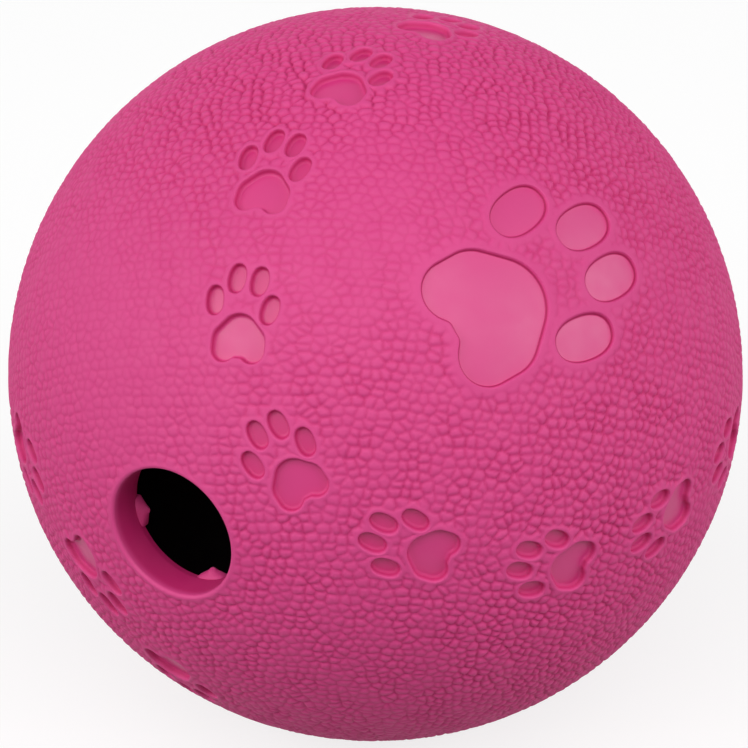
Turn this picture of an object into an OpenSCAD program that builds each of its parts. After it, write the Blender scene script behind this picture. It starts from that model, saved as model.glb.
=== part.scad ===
// A hollow rubber ball that drops treats through one round mouth as it rolls.
// Two half shells meet on the plane across the mouth axis. A hoop seated in both
// of them holds a labyrinth: two decks with ports, a centre post and four baffles.
// Sizes are in millimetres. The mouth looks along -Y and +Z is up.

/* [Ball] */
// Diameter of the ball over its plain surface
ball_d = 90; // [88:0.5:110]
// Wall between the plain outside and the round hollow
wall = 5.1; // [4.8:0.1:6]
// Depth of the small paw prints
print_depth = 0.85; // [0.4:0.05:1]
// Depth of the large paw prints
large_print_depth = 0.5; // [0.3:0.05:1]

/* [Mouth] */
// Bore of the mouth, which treats go in and out by
mouth_d = 16; // [14:0.1:18]
// Radius of the rounded lip where the bore meets the outside
lip_r = 0.4; // [0.3:0.1:0.8]
// How far each tooth stands in from the bore
tooth_reach = 0.95; // [0.8:0.05:1.6]
// Width of a tooth at its root
tooth_w = 3.9; // [3:0.1:5]
// Fall of a tooth's ramp, from its top on the bore down to its tip
tooth_drop = 1; // [0.8:0.1:1.5]
// Thickness of a tooth at its tip
tooth_tip_t = 0.65; // [0.6:0.05:1.4]
// Radius of a tooth's tip, seen along the mouth
tooth_tip_r = 0.65; // [0.4:0.05:0.75]
// Turn of the first tooth round the mouth axis
tooth_turn = 15; // [0:1:89]
// How far the bore opens towards the hollow, below the tops of the teeth
bore_flare = 0.2; // [0.1:0.05:0.3]

/* [Paw prints] */
// Small paws along the closed trail
trail_paws = 28; // [28]
// Angle from the mouth axis to the trail where it comes nearest
trail_near_angle = 24.7; // [24:0.1:26]
// Turn of the trail round the mouth axis
trail_turn = -3.4; // [-45:0.1:45]
// Size of the small paws against their drawn size
small_paw_scale = 1; // [0.9:0.01:1.05]
// Size of the four large paws against the small ones
large_paw_ratio = 2.38; // [2:0.01:2.5]
// Angle from the nearer pole to the centre of a large paw
large_paw_angle = 68.5; // [67:0.1:70]
// Turn of a large paw on its own spot, clockwise as seen
large_paw_twist = 6; // [0:1:10]
// Small toe print, half its length
toe_half_l = 1.7; // [1.4:0.05:1.9]
// Small toe print, radius of its ends
toe_r = 1.09; // [1:0.01:1.3]
// Small inner toes, distance from the paw's middle line
inner_toe_x = 1.36; // [1.3:0.01:1.5]
// Small inner toes, distance ahead of the paw's centre
inner_toe_y = 4.07; // [3.9:0.01:4.3]
// Small outer toes, distance from the paw's middle line
outer_toe_x = 3.35; // [3.3:0.05:3.6]
// Small outer toes, distance ahead of the paw's centre
outer_toe_y = 1.2; // [1:0.05:1.4]
// Small outer toes, step of both to the left, the left one ahead and the right one back
outer_toe_skew = 0.12; // [0:0.02:0.2]
// Small outer toes, outward lean
outer_toe_lean = 8; // [0:1:15]
// Small heel pad, radius of its front lobe
heel_front_r = 2.35; // [2.2:0.05:2.4]
// Small heel pad, front lobe's distance behind the paw's centre
heel_front_y = 2.1; // [2:0.05:2.3]
// Small heel pad, radius of its two flanks
heel_side_r = 1.85; // [1.75:0.05:1.9]
// Small heel pad, flanks' distance from the paw's middle line
heel_side_x = 1.35; // [1.25:0.05:1.45]
// Small heel pad, flanks' distance behind the paw's centre
heel_side_y = 2.8; // [2.7:0.05:2.95]
// Small heel pad, radius of its two rear lobes
heel_rear_r = 1.5; // [1.4:0.05:1.6]
// Small heel pad, rear lobes' distance from the paw's middle line
heel_rear_x = 1.7; // [1.6:0.05:1.8]
// Small heel pad, rear lobes' distance behind the paw's centre
heel_rear_y = 3.75; // [3.6:0.05:3.85]
// Small heel pad, radius of the part between the rear lobes
heel_mid_r = 1.4; // [1.3:0.05:1.45]
// Small heel pad, middle part's distance behind the paw's centre
heel_mid_y = 3.3; // [3.2:0.05:3.4]
// Turn of a small heel pad about the paw's centre, counter-clockwise as seen
heel_turn = 4; // [0:0.5:6]

/* [Seam] */
// Height of the rear half's tongue
tongue_h = 1.5; // [1:0.1:2]
// Thickness of the tongue
tongue_t = 1.2; // [1:0.1:1.4]
// Wall left between the hoop's seat and the tongue
tongue_inset = 1.2; // [1.1:0.1:1.3]
// Clearance of each bonded fit
bond_fit = 0.1; // [0.05:0.05:0.15]

/* [Labyrinth] */
// How far the hoop's seat is cut into the hollow at the seam
seat_depth = 0.5; // [0.4:0.1:0.7]
// Half the width of the hoop
hoop_half_w = 12; // [11:0.5:12.5]
// Thickness of the hoop's web
hoop_t = 2.3; // [2.1:0.1:2.6]
// Thickness of each deck
deck_t = 2.5; // [2.2:0.1:2.8]
// How far a deck's rim goes into the hoop
deck_bite = 1.2; // [1:0.1:1.4]
// Deck left between a port and the hoop
port_rim_gap = 5; // [4:0.5:7]
// Deck left between a port and the post
port_post_gap = 10.5; // [8:0.5:11]
// Thickness of a baffle
baffle_t = 2; // [1.8:0.1:2.4]
// Depth of the grooves that hold the baffles
groove_depth = 0.8; // [0.6:0.1:1]
// Distance of the inner baffles' free edge from the axis
inner_baffle_r = 24; // [22:0.5:25]
// Distance of the outer baffles' free edge from the axis
outer_baffle_r = 17; // [16:0.5:20]
// Radius of the centre post between the decks
post_r = 4.5; // [4:0.1:5.5]
// Radius of the post's neck in each deck
post_neck_r = 2.5; // [2.2:0.1:2.8]
// Radius of the post's heads
post_head_r = 3.9; // [3.6:0.1:4.4]
// Height of the post's heads
post_head_h = 1.5; // [1.2:0.1:2]

/* [Hidden] */
$fn = 96;
// Which node is drawn
// Overrun of every cut
over = 2;
// How far the straight sides of a print's outline stay inside its arcs
outline_inset = 0.01;
// Radii of the ball
ball_r = ball_d / 2;
hollow_r = ball_r - wall;
print_floor_r = ball_r - print_depth;
large_print_floor_r = ball_r - large_print_depth;
// Mouth
mouth_r = mouth_d / 2;
lip_ring_r = mouth_r + lip_r;
lip_z = sqrt(pow(ball_r - lip_r, 2) - pow(lip_ring_r, 2));
bore_foot_z = sqrt(pow(hollow_r, 2) - pow(mouth_r, 2));
tooth_tip_z = bore_foot_z;
tooth_top_z = tooth_tip_z + tooth_drop;
tooth_root_r = mouth_r + tooth_reach;
flare_foot = [mouth_r + bore_flare * (tooth_drop + over) / tooth_drop, tooth_tip_z - over];
teeth = 4;
// Hoop, seat and decks
seat_r = hollow_r + seat_depth;
hoop_r = seat_r - bond_fit;
hoop_in_r = hoop_r - hoop_t;
seat_half_w = hoop_half_w + bond_fit;
deck_top_z = hoop_half_w;
deck_foot_z = deck_top_z - deck_t;
deck_seat_r = hoop_in_r + deck_bite;
deck_r = deck_seat_r - bond_fit;
port_d = hoop_in_r - post_r - port_rim_gap - port_post_gap;
port_pitch_r = post_r + port_post_gap + port_d / 2;
// Baffles and post
baffle_half_h = deck_foot_z + groove_depth - bond_fit;
groove_w = baffle_t + 2 * bond_fit;
post_groove_r = post_r - groove_depth;
baffle_foot_r = post_groove_r + bond_fit;
baffle_rim_r = hoop_in_r + groove_depth - bond_fit;
post_hole_r = post_neck_r + bond_fit;
head_foot_z = deck_top_z + bond_fit;
// Tongue and groove of the seam
tongue_in_r = seat_r + tongue_inset;
tongue_out_r = tongue_in_r + tongue_t;
// Trail: A cos t + B cos 3t, A sin t - B sin 3t, C sin 2t, with A + B = 1
trail_c_share = cos(trail_near_angle);
trail_a_share = (1 + sqrt(1 - pow(trail_c_share, 2))) / 2;
trail_b_share = 1 - trail_a_share;
// Steps along the trail when its length is measured
trail_steps = 720;
// Turn of each small paw on its spot, counter-clockwise as seen, over half the trail
paw_turns = [-7, -14, 1, 3, -4, 0, -6, -2, -9, 3, -5, -1, -16, -1];
// Step of each small paw to the right of the trail, over half the trail
paw_side_steps = [-0.95, -0.3, -0.3, 0.5, 0.2, -0.3, 0.4, -0.5, 0.3, -0.2, 0.3, 0.4, 0.2, 0.5];
// Step of each small paw ahead along the trail, over half the trail
paw_ahead_steps = [-0.2, -0.4, -0.2, -0.5, 0.2, 0, -0.3, 0.2, -0.2, 0.1, -0.4, -0.7, -0.9, -0.1];
paw_reach = 7 * small_paw_scale;
large_paw_reach = paw_reach * large_paw_ratio;

// Point of the trail at turn t, on a sphere of radius one
function trail_point(t) = [
    trail_a_share * cos(t) + trail_b_share * cos(3 * t),
    trail_a_share * sin(t) - trail_b_share * sin(3 * t),
    trail_c_share * sin(2 * t)
];
function unit(v) = v / norm(v);
function running(list, i = 0, sum = 0, out = []) =
    i == len(list) ? out : running(list, i + 1, sum + list[i], concat(out, [sum + list[i]]));
trail_turns = [for (i = [0:trail_steps]) 45 + 360 * i / trail_steps];
trail_runs = running(concat([0], [for (i = [1:trail_steps])
    norm(trail_point(trail_turns[i]) - trail_point(trail_turns[i - 1]))]));
trail_table = [for (i = [0:trail_steps]) [trail_runs[i], trail_turns[i]]];
trail_len = trail_runs[trail_steps];
// Frame of a print: right of the heading, the heading, and outward
function print_frame(out, ahead) =
    let (n = unit(out), f = unit(ahead - (ahead * n) * n)) [cross(f, n), f, n];
function paw_turn_at(i) = lookup(trail_len * i / trail_paws, trail_table);
function paw_frame(i) =
    let (t = paw_turn_at(i)) print_frame(trail_point(t), trail_point(t + 1) - trail_point(t - 1));
// The frame after a step over the ball's surface and a turn on the spot
function moved(fr, side, ahead, turn) =
    let (
        n = unit(fr[2] * ball_r + fr[0] * side + fr[1] * ahead),
        g = print_frame(n, fr[1])
    )
    [g[0] * cos(turn) + g[1] * sin(turn), g[1] * cos(turn) - g[0] * sin(turn), n];
function small_paw_frame(i) =
    let (k = i % len(paw_turns))
    moved(paw_frame(i), paw_side_steps[k], paw_ahead_steps[k], paw_turns[k]);
// Large paws 0 and 1 lie on the mouth's half, 2 and 3 on the rear half a quarter turn on
function large_paw_frame(k) =
    let (
        rear = k > 1,
        a = 45 + 180 * k + (rear ? 90 : 0),
        c = rear ? 180 - large_paw_angle : large_paw_angle,
        n = [sin(c) * cos(a), sin(c) * sin(a), cos(c)],
        f = (rear ? -1 : 1) * [cos(c) * cos(a), cos(c) * sin(a), -sin(c)]
    )
    moved(print_frame(n, f), 0, 0, -large_paw_twist);

// Prints

// Lobes of a heel pad on its right: place and radius
heel_front = [0, -heel_front_y, heel_front_r];
heel_side = [heel_side_x, -heel_side_y, heel_side_r];
heel_rear = [heel_rear_x, -heel_rear_y, heel_rear_r];

// Points where one line touches two lobes from the right
function touch_points(a, b) =
    let (
        d = [b[0] - a[0], b[1] - a[1]],
        l = norm(d),
        along = d / l,
        across = [-along[1], along[0]],
        s = (a[2] - b[2]) / l,
        n = s * along + sqrt(1 - s * s) * across
    )
    [for (c = [a, b]) [c[0], c[1]] + n * (c[2] - outline_inset)];

module toe_outline() {
    straight = toe_half_l - toe_r;
    translate([0, straight]) circle(r = toe_r);
    translate([0, -straight]) circle(r = toe_r);
    square([2 * (toe_r - outline_inset), 2 * straight], center = true);
}

module lobe(c) {
    translate([c[0], c[1]]) circle(r = c[2]);
}

module heel_outline() {
    flank = concat(
        touch_points(heel_front, heel_side), touch_points(heel_side, heel_rear),
        [[heel_rear_x, -heel_rear_y]]
    );
    lobe(heel_front);
    for (m = [-1, 1]) {
        lobe([m * heel_side_x, -heel_side_y, heel_side_r]);
        lobe([m * heel_rear_x, -heel_rear_y, heel_rear_r]);
    }
    lobe([0, -heel_mid_y, heel_mid_r]);
    polygon(concat(flank, [for (i = [len(flank) - 1:-1:0]) [-flank[i][0], flank[i][1]]]));
}

module paw_outlines(heel_by) {
    for (m = [-1, 1]) {
        translate([m * inner_toe_x, inner_toe_y]) toe_outline();
        translate([m * outer_toe_x - outer_toe_skew, outer_toe_y - m * outer_toe_skew])
            rotate(-m * outer_toe_lean) toe_outline();
    }
    rotate(heel_by) heel_outline();
}

// Stands on a chord well under the print's floor and runs out past the ball
module paw_prism(fr, scale_by, heel_by, floor_r) {
    reach = paw_reach * scale_by;
    foot_z = sqrt(pow(floor_r, 2) - pow(reach, 2)) - over;
    multmatrix([
        [fr[0][0], fr[1][0], fr[2][0], 0],
        [fr[0][1], fr[1][1], fr[2][1], 0],
        [fr[0][2], fr[1][2], fr[2][2], 0]
    ])
    translate([0, 0, foot_z])
    linear_extrude(height = ball_r + over - foot_z)
    scale(small_paw_scale * scale_by) paw_outlines(heel_by);
}

// Every paw that can reach the side of the seam named by side, 1 or -1
module print_cutters(side) {
    difference() {
        for (i = [0:trail_paws - 1]) {
            fr = small_paw_frame(i);
            if (side * fr[2][2] * ball_r > -paw_reach) paw_prism(fr, 1, heel_turn, print_floor_r);
        }
        sphere(r = print_floor_r);
    }
    difference() {
        for (k = [0:3]) {
            fr = large_paw_frame(k);
            if (side * fr[2][2] * ball_r > -large_paw_reach)
                paw_prism(fr, large_paw_ratio, 0, large_print_floor_r);
        }
        sphere(r = large_print_floor_r);
    }
}

// Shells, with the mouth along +Z

// Half of a ring's section, from the seam plane up
module half_section() {
    intersection() {
        difference() {
            circle(r = ball_r);
            circle(r = hollow_r);
        }
        square([ball_r + over, ball_r + over]);
    }
}

module seat_section() {
    translate([0, -over]) square([seat_r, seat_half_w + over]);
}

module mouth_section() {
    difference() {
        half_section();
        seat_section();
        square([mouth_r, ball_r + over]);
        polygon([[0, tooth_top_z], [mouth_r, tooth_top_z], flare_foot, [0, flare_foot[1]]]);
        polygon([
            [0, lip_z], [lip_ring_r, lip_z],
            [lip_ring_r, lip_z] * (ball_r + over) / ball_r, [0, ball_r + over]
        ]);
        translate([tongue_in_r - bond_fit, -over])
        square([tongue_t + 2 * bond_fit, over + tongue_h + bond_fit]);
    }
    translate([lip_ring_r, lip_z]) circle(r = lip_r);
}

module rear_section() {
    difference() {
        half_section();
        seat_section();
    }
    translate([tongue_in_r, -tongue_h]) square([tongue_t, tongue_h + over]);
}

// One tooth: a ramp from the bore down to a tip, narrowing towards the tip
module tooth() {
    tip_r = mouth_r - tooth_reach;
    half_w = tooth_w / 2;
    intersection() {
        rotate([90, 0, 0])
        translate([0, 0, -tooth_w])
        linear_extrude(height = 2 * tooth_w)
        polygon([
            [tip_r, tooth_tip_z], [mouth_r, tooth_top_z], [tooth_root_r, tooth_top_z],
            [tooth_root_r, tooth_tip_z - tooth_tip_t], [tip_r, tooth_tip_z - tooth_tip_t]
        ]);
        translate([0, 0, tooth_tip_z - tooth_tip_t - over])
        linear_extrude(height = tooth_drop + tooth_tip_t + 2 * over) {
            translate([tip_r + tooth_tip_r, 0]) circle(r = tooth_tip_r);
            polygon([
                [tip_r + tooth_tip_r, tooth_tip_r], [mouth_r, half_w], [tooth_root_r, half_w],
                [tooth_root_r, -half_w], [mouth_r, -half_w], [tip_r + tooth_tip_r, -tooth_tip_r]
            ]);
        }
    }
}

module to_row() {
    rotate([90, 0, 0]) rotate([0, 0, trail_turn]) children();
}

// Nodes

module mouth_half_shell() {
    color("HotPink") to_row() {
        difference() {
            rotate_extrude() mouth_section();
            print_cutters(1);
        }
        rotate([0, 0, tooth_turn - trail_turn])
        for (i = [0:teeth - 1]) rotate([0, 0, 360 * i / teeth]) tooth();
    }
}

module rear_half_shell() {
    color("DeepPink") to_row() difference() {
        mirror([0, 0, 1]) rotate_extrude() rear_section();
        print_cutters(-1);
    }
}

// Labyrinth, turned so that its ports lie level and upright
module labyrinth_turn() {
    rotate([90, 0, 0]) children();
}

module baffle_groove(from_r, to_r, from_z, to_z) {
    translate([from_r, -groove_w / 2, from_z]) cube([to_r - from_r, groove_w, to_z - from_z]);
}

module labyrinth_hoop() {
    color("Orchid") labyrinth_turn() difference() {
        rotate_extrude() difference() {
            translate([hoop_in_r, -hoop_half_w]) square([hoop_t, 2 * hoop_half_w]);
            for (m = [-1, 1])
                translate([hoop_in_r - over, m > 0 ? deck_foot_z - bond_fit : -hoop_half_w - over])
                square([deck_seat_r - hoop_in_r + over, deck_t + over + bond_fit]);
        }
        for (a = [135, 315]) rotate([0, 0, a])
            baffle_groove(hoop_in_r - over, hoop_in_r + groove_depth, -hoop_half_w, hoop_half_w);
    }
}

module deck(port_turn) {
    difference() {
        translate([0, 0, deck_foot_z]) cylinder(r = deck_r, h = deck_t);
        translate([0, 0, deck_foot_z - over]) cylinder(r = post_hole_r, h = deck_t + 2 * over);
        for (a = [0, 180]) rotate([0, 0, a + port_turn])
            translate([port_pitch_r, 0, deck_foot_z - over])
            cylinder(d = port_d, h = deck_t + 2 * over);
        for (a = [45, 225]) rotate([0, 0, a])
            baffle_groove(post_groove_r, inner_baffle_r + bond_fit,
                deck_foot_z - over, deck_foot_z + groove_depth);
        for (a = [135, 315]) rotate([0, 0, a])
            baffle_groove(outer_baffle_r - bond_fit, deck_r + over,
                deck_foot_z - over, deck_foot_z + groove_depth);
    }
}

module mouth_side_deck() {
    color("Plum") labyrinth_turn() deck(0);
}

module rear_side_deck() {
    color("Violet") labyrinth_turn() mirror([0, 0, 1]) deck(90);
}

module centre_post() {
    color("MediumOrchid") labyrinth_turn() difference() {
        union() {
            translate([0, 0, bond_fit - deck_foot_z])
            cylinder(r = post_r, h = 2 * (deck_foot_z - bond_fit));
            translate([0, 0, -head_foot_z]) cylinder(r = post_neck_r, h = 2 * head_foot_z);
            for (m = [0, 1]) mirror([0, 0, m]) translate([0, 0, head_foot_z])
                cylinder(r1 = post_head_r, r2 = post_neck_r, h = post_head_h);
        }
        for (a = [45, 225]) rotate([0, 0, a])
            baffle_groove(post_groove_r, post_r + over, -deck_foot_z, deck_foot_z);
    }
}

// A plate on edge along +X, with a round free edge at free_r and its held edge at held_r
module baffle(held_r, free_r) {
    half_t = baffle_t / 2;
    dir = free_r > held_r ? 1 : -1;
    end_x = free_r - dir * half_t;
    translate([min(held_r, end_x), -half_t, -baffle_half_h])
    cube([abs(end_x - held_r), baffle_t, 2 * baffle_half_h]);
    translate([end_x, 0, -baffle_half_h]) cylinder(r = half_t, h = 2 * baffle_half_h);
}

module inner_baffle_1() {
    color("Magenta") labyrinth_turn() rotate([0, 0, 45]) baffle(baffle_foot_r, inner_baffle_r);
}

module inner_baffle_2() {
    color("Magenta") labyrinth_turn() rotate([0, 0, 225]) baffle(baffle_foot_r, inner_baffle_r);
}

module outer_baffle_1() {
    color("Fuchsia") labyrinth_turn() rotate([0, 0, 135]) baffle(baffle_rim_r, outer_baffle_r);
}

module outer_baffle_2() {
    color("Fuchsia") labyrinth_turn() rotate([0, 0, 315]) baffle(baffle_rim_r, outer_baffle_r);
}

mouth_half_shell();
rear_half_shell();
labyrinth_hoop();
mouth_side_deck();
rear_side_deck();
centre_post();
inner_baffle_1();
inner_baffle_2();
outer_baffle_1();
outer_baffle_2();
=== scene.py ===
import math

import bpy
import numpy as np
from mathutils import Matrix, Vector


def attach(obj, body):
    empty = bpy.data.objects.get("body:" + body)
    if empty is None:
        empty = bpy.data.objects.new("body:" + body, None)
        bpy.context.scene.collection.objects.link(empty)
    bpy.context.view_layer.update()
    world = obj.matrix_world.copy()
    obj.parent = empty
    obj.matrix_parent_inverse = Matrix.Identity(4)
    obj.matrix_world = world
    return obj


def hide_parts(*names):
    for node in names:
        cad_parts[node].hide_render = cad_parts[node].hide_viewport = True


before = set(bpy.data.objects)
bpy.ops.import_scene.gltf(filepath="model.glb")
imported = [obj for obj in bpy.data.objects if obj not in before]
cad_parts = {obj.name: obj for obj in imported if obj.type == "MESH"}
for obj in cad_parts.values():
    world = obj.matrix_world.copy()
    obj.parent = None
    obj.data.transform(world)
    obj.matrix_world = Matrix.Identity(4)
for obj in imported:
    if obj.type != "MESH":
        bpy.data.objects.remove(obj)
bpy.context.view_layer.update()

# Sizes of the part's source, in millimetres. The skins are built with the mouth along +Z
# and turned into the row frame at the end, where the mouth looks along -Y and +Z is up.
MM = 0.001
BALL_R = 45.0
HOLLOW_R = 39.9
SMALL_PRINT_DEPTH = 0.85
LARGE_PRINT_DEPTH = 0.5
MOUTH_R = 8.0
LIP_R = 0.4
LIP_RING_R = MOUTH_R + LIP_R
LIP_Z = math.sqrt((BALL_R - LIP_R) ** 2 - LIP_RING_R**2)
LIP_COLAT = math.atan2(LIP_RING_R, LIP_Z)
BORE_FOOT_Z = math.sqrt(HOLLOW_R**2 - MOUTH_R**2)
SEAT_R = 40.4
SEAT_HALF_W = 12.1
TONGUE_IN_R = 41.6
TONGUE_OUT_R = 42.8
TONGUE_H = 1.5
BOND_FIT = 0.1
TOOTH_REACH = 0.95
TOOTH_W = 3.9
TOOTH_DROP = 1.0
TOOTH_TIP_T = 0.65
TOOTH_TIP_R = 0.65
TOOTH_TIP_ARC = (125.0, 235.0)
TOOTH_SHOULDER_IN = (-0.12, 0.1)
TOOTH_SHOULDER_OUT = 0.12
TOOTH_ROOT = 0.5
TOOTH_EDGE = 0.42
TOOTH_STEP = 0.25
TOOTH_TURN = 15.0
TEETH = 4
BORE_FLARE = 0.2
BORE_FOOT_R = 0.25
BORE_FOOT_END = 1.5 * math.pi - 0.2
HOLLOW_START = 0.4
POLE_GAP = 0.02

# Trail and paws: angles in degrees, and lengths of a small paw in millimetres, in its own
# plane with the heading along +Y. A circle is given as x, y and radius
TRAIL_PAWS = 28
TRAIL_NEAR_ANGLE = 24.7
TRAIL_TURN = -3.4
TRAIL_STEPS = 720
TRAIL_START = 45.0
LARGE_PAW_RATIO = 2.38
LARGE_PAW_ANGLE = 68.5
LARGE_PAW_TWIST = 6.0
TOE_HALF_L = 1.7
TOE_R = 1.09
TOE_POWER = 2.25
INNER_TOE = (1.36, 4.07)
OUTER_TOE = (3.35, 1.2)
OUTER_TOE_SKEW = 0.12
OUTER_TOE_LEAN = 8.0
HEEL_FRONT = (0.0, -2.1, 2.35)
HEEL_SIDE = (1.35, -2.8, 1.85)
HEEL_REAR = (1.7, -3.75, 1.5)
HEEL_MID = (0.0, -3.3, 1.4)
HEEL_BLEND = 0.12
HEEL_CENTRE = (0.0, -3.1)
HEEL_REACH = 6.0
HEEL_TURN = 4.0
TOE_POINTS = 72
HEEL_POINTS = 132
TOE_RAYS = 400
HEEL_RAYS = 720
HALVINGS = 40

# Small turns and steps aside and ahead of the paws in the trail's first half. The second
# half repeats them
PAW_TURNS = (-7, -14, 1, 3, -4, 0, -6, -2, -9, 3, -5, -1, -16, -1)
PAW_SIDE_STEPS = (
    -0.95, -0.3, -0.3, 0.5, 0.2, -0.3, 0.4, -0.5, 0.3, -0.2, 0.3, 0.4, 0.2, 0.5,
)
PAW_AHEAD_STEPS = (
    -0.2, -0.4, -0.2, -0.5, 0.2, 0, -0.3, 0.2, -0.2, 0.1, -0.4, -0.7, -0.9, -0.1,
)

# The skin's mesh. A ring is ROW_SHARE of a step from the next, a point nearer an outline
# than SNAP_SHARE of a step counts as on it, and PRINT_REACH is how far around a print its
# distance is measured. SEAM_REACH parts the seam's open edge from the lip's
SKIN_STEP = 0.22
ROW_SHARE = 0.87
SNAP_SHARE = 0.22
PRINT_REACH = 3.2
SEAM_REACH = 3.0

# Points round the inner faces, and steps of the sections
INNER_COUNT = 240
LIP_SECTION_STEPS = 10
BORE_STEPS = 16
FLARE_STEPS = 5
FOOT_STEPS = 5
MOUTH_HOLLOW_STEPS = 40
REAR_HOLLOW_STEPS = 48
TOOTH_TIP_POINTS = 13
TOOTH_EDGE_POINTS = 5

# The edge of a print is a lip, a drafted wall and a fillet. The skin moves aside for it in
# a band outside the outline, and the floor in a band inside
PRINT_LIP = 0.22
LIP_BAND_SHARE = 0.8
SMALL_FILLET = 0.34
LARGE_FILLET = 0.16
SMALL_DRAFT = 0.06
LARGE_DRAFT = 0.12
BAND_OUT = 0.75
BAND_IN = 0.85
LIP_STEPS = 4
FILLET_STEPS = 4

# Depth of painted shade, where 1 is that of a pebble's groove at full relief: painted
# shade on the prints' walls and floors, on the teeth and in the bore. Polish of the bore,
# where 1 is a print's floor, also gives it that share of the floors' painted shade.
# WALL_FADE runs from the top of a fillet to its foot
SMALL_WALL_SHADE = 1.7
LARGE_WALL_SHADE = 3.8
WALL_FADE = np.array([1.0, 1.0, 0.8, 0.4, 0.0])
TOE_SHADE = 0.8
HEEL_SHADE = 0.3
TOOTH_SHADE = 0.3
BORE_SHADE = 2.2
BORE_FADE = 0.9
BORE_POLISH_AND_SHADE = 0.2

# Pebbles: rows round one axis of the mould, each cell a low dome between fine grooves.
# Jitters are shares of a cell and grow near the rows' poles, and the fades are distances
# from a print or the mouth where the pebbles start and are whole
PEBBLE_AXIS = (-0.269, 0.553, 0.789)
PEBBLE_SIDE = (0.0, 1.0, 0.2)
PEBBLE_W = 1.33
PEBBLE_H = 1.12
PEBBLE_DEPTH = 0.22
PEBBLE_EDGE = 0.42
PEBBLE_DOME = 0.8
PEBBLE_BULGE = 0.2
# Width of the painted shade along a pebble's groove
GROOVE_SHADE_W = 0.18
PEBBLE_SEED = 7
WIDTH_JITTER = 0.75
HEIGHT_JITTER = 0.65
POLE_JITTER = 0.5
POLE_LATITUDES = (1.0, 1.4)
ROW_WAVE = 0.12
ROW_WAVE_COUNT = 9
ROW_WAVE_LAG = 0.13
SMALL_PRINT_FADE = (0.1, 1.0)
LARGE_PRINT_FADE = (0.3, 1.9)
MOUTH_FADE = (0.0, 0.7)

# Small patches of the pebbles' relief, and spots of lower and higher relief: outward
# direction in the row frame, reach in degrees, share of the depth
PATCH_SEED = 11
PATCH_WAVES = 14
PATCH_LENGTH = 5.0
PATCH_LEAST = 0.8
PATCH_SPREAD = 0.5
PATCH_LIMIT = 1.3
SPOT_CORE = 0.25
SPOT_END = 1.25
RELIEF_SPOTS = (
    ((-0.26, -0.86, 0.45), 32, 0.46),
    ((0.30, -0.56, 0.77), 20, 0.6),
    ((0.55, 0.22, 0.81), 28, 1.85),
    ((-0.19, -0.40, 0.90), 28, 1.75),
    ((0.95, -0.27, 0.18), 22, 1.5),
    ((0.78, -0.51, -0.37), 24, 1.35),
    ((0.51, -0.80, -0.31), 24, 0.85),
)

# Colours and finish of the shells' rubber, with its painted shade, and of the inner
# pieces' rubber, whose near black is painted shade for the inside of the ball
PINK = (0.645, 0.042, 0.220)
LIGHT_PINK = (0.675, 0.049, 0.236)
# Painted shade: the deep and dark pinks are mixed in by the depth of painted shade
DEEP_SHADE_PINK = (0.64, 0.004, 0.17)
DARK_SHADE_PINK = (0.40, 0.004, 0.09)
# Painted shade on the prints' floors, and faintly in the bore, mixed in by the polish
FLOOR_SHADE_PINK = (0.57, 0.010, 0.16)
DEEP_SHADE_SHARE = 0.4
DARK_SHADE_SHARE = 0.26
FLOOR_SHADE_SHARE = 0.4
SKIN_ROUGHNESS = (0.68, 0.78)
FLOOR_POLISH = 0.30
FLOOR_GRAIN = 0.35
SHELL_SPECULAR = 0.65
# Near black of the inner pieces, painted shade for the dark inside of the ball
SHADE_BLACK = (0.010, 0.009, 0.010)
SOFT_SHADE_BLACK = (0.018, 0.016, 0.018)
INNER_ROUGHNESS = (0.55, 0.7)
INNER_SPECULAR = 0.3
BUMP_STRENGTH = 0.3

# Noise: scale per metre, detail and roughness, and the range of values that is used
NOISE_RANGE = (0.3, 0.7)
TINT_NOISE = (70.0, 3.0, 0.5)
PATCH_NOISE = (420.0, 4.0, 0.6)
GRAIN_NOISE = (3600.0, 2.0, 0.6)
GRAIN_HEIGHT = 0.00004
INNER_TINT_NOISE = (90.0, 3.0, 0.5)
INNER_PATCH_NOISE = (500.0, 2.0, 0.5)
INNER_GRAIN_NOISE = (2500.0, 2.0, 0.5)
INNER_GRAIN_HEIGHT = 0.00005

# Camera, floor and light. A light has its turn from the camera's side and its rise in
# degrees, its width and height in metres and its power in watts
CAM_AZIMUTH = 31.55
CAM_ELEVATION = 28.55
CAM_DISTANCE = 9 * BALL_R * MM
CAM_LENS = 158.2
CAM_SENSOR = 36.0
CAM_SHIFT_X = -0.002
CAM_CLIP = (0.01, 20.0)
FLOOR_HALF = 3.0
FLOOR_GREY = 0.28
FLOOR_ROUGHNESS = 0.9
FLOOR_GLOW = 0.77
AMBIENT = 0.04
LIGHT_DISTANCE = 1.6
LIGHTS = (
    ("left_light", -60, 15, 1.6, 0.8, 14.6),
    ("front_light", 0, 22, 1.6, 1.2, 16.2),
    ("right_light", 62, 15, 1.6, 0.8, 12.2),
    ("back_light", 180, 36.5, 2.0, 0.3, 3.6),
)


# Small helpers


def unit(v):
    v = np.asarray(v, float)
    return v / np.linalg.norm(v, axis=-1, keepdims=True)


def smooth(x, lo, hi):
    t = np.clip((x - lo) / (hi - lo), 0.0, 1.0)
    return t * t * (3.0 - 2.0 * t)


def cosd(a):
    return np.cos(np.radians(a))


def sind(a):
    return np.sin(np.radians(a))


# Paw frames: rows are right of the heading, the heading and outward


def trail_point(t):
    """Direction of the trail at turn t, in degrees: a curve like a tennis ball's seam."""
    c = math.cos(math.radians(TRAIL_NEAR_ANGLE))
    a = (1 + math.sqrt(1 - c * c)) / 2
    b = 1 - a
    return np.stack(
        [
            a * cosd(t) + b * cosd(3 * t),
            a * sind(t) - b * sind(3 * t),
            c * sind(2 * t),
        ],
        -1,
    )


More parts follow.
